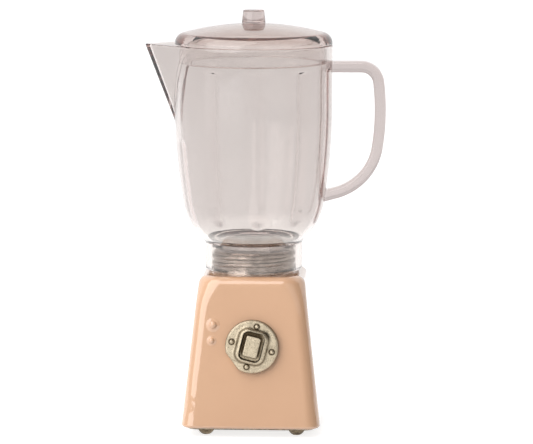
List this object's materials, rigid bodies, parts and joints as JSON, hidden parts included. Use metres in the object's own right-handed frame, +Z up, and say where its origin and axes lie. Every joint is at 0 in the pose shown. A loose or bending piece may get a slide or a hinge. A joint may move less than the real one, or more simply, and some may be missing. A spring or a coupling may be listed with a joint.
{
  "type": "toy blender",
  "caption": "Doll's-house toy blender: painted metal base with a round dial and push button, clear screw-on jug with beak, handle, inner ribs, and lift-off domed lid with knob.",
  "frame": {"origin": "on the floor under the feet, at the middle of the object's footprint box", "axes": "+Z up, front of the base with the dial towards -Y, handle towards +X, beak towards -X"},
  "size_m": [0.0458, 0.03, 0.0801],
  "materials": {
    "peach_paint": "smooth glossy peach enamel",
    "aged_bronze": "dark antique bronze plating",
    "bare_metal": "bare turned metal",
    "antique_nickel": "antiqued nickel brass, dark in the recesses",
    "fixing_steel": "plain zinc-plated steel",
    "clear_plastic": "clear injection-moulded plastic with a faint pink-grey tint"
  },
  "bodies": {
    "base": {"base_shell": "peach_paint", "base_plate": "aged_bronze", "foot_screws": "aged_bronze", "threaded_boss": "bare_metal", "boss_screw": "fixing_steel"},
    "dial": {"dial_plate": "antique_nickel", "dial_pins": "antique_nickel", "dial_hub": "antique_nickel", "dial_clip": "fixing_steel", "button_spring": "fixing_steel"},
    "push_button": {"button": "antique_nickel", "button_clip": "fixing_steel"},
    "collar": {"jug_collar": "clear_plastic"},
    "jug_body": {"jug": "clear_plastic", "jug_handle": "clear_plastic"},
    "lid_body": {"lid": "clear_plastic", "lid_knob": "clear_plastic"}
  },
  "joints": [
    {"name": "jug_rise", "type": "slide", "parent": "base", "child": "collar", "axis": [0, 0, 1], "range_m": [0, 0.0044]},
    {"name": "jug_turn", "type": "hinge", "parent": "collar", "child": "jug_body", "pos_m": [-0.00217, 0, 0.036], "axis": [0, 0, 1], "range_deg": [0, 1170]},
    {"name": "lid_lift", "type": "slide", "parent": "jug_body", "child": "lid_body", "axis": [0, 0, 1], "range_m": [0, 0.012]},
    {"name": "dial_turn", "type": "hinge", "parent": "base", "child": "dial", "pos_m": [-0.00187, -0.01144, 0.0174], "axis": [0, -0.9937, 0.112], "continuous": true},
    {"name": "button_press", "type": "slide", "parent": "dial", "child": "push_button", "axis": [0, 0.9937, -0.112], "range_m": [0, 0.0005], "stiffness_N_per_m": 400, "springref_m": -0.0003, "deforming": ["button_spring"]}
  ],
  "couplings": [
    {"joint": "jug_rise", "follows": "jug_turn", "m_per_rad": 0.00021486}
  ]
}
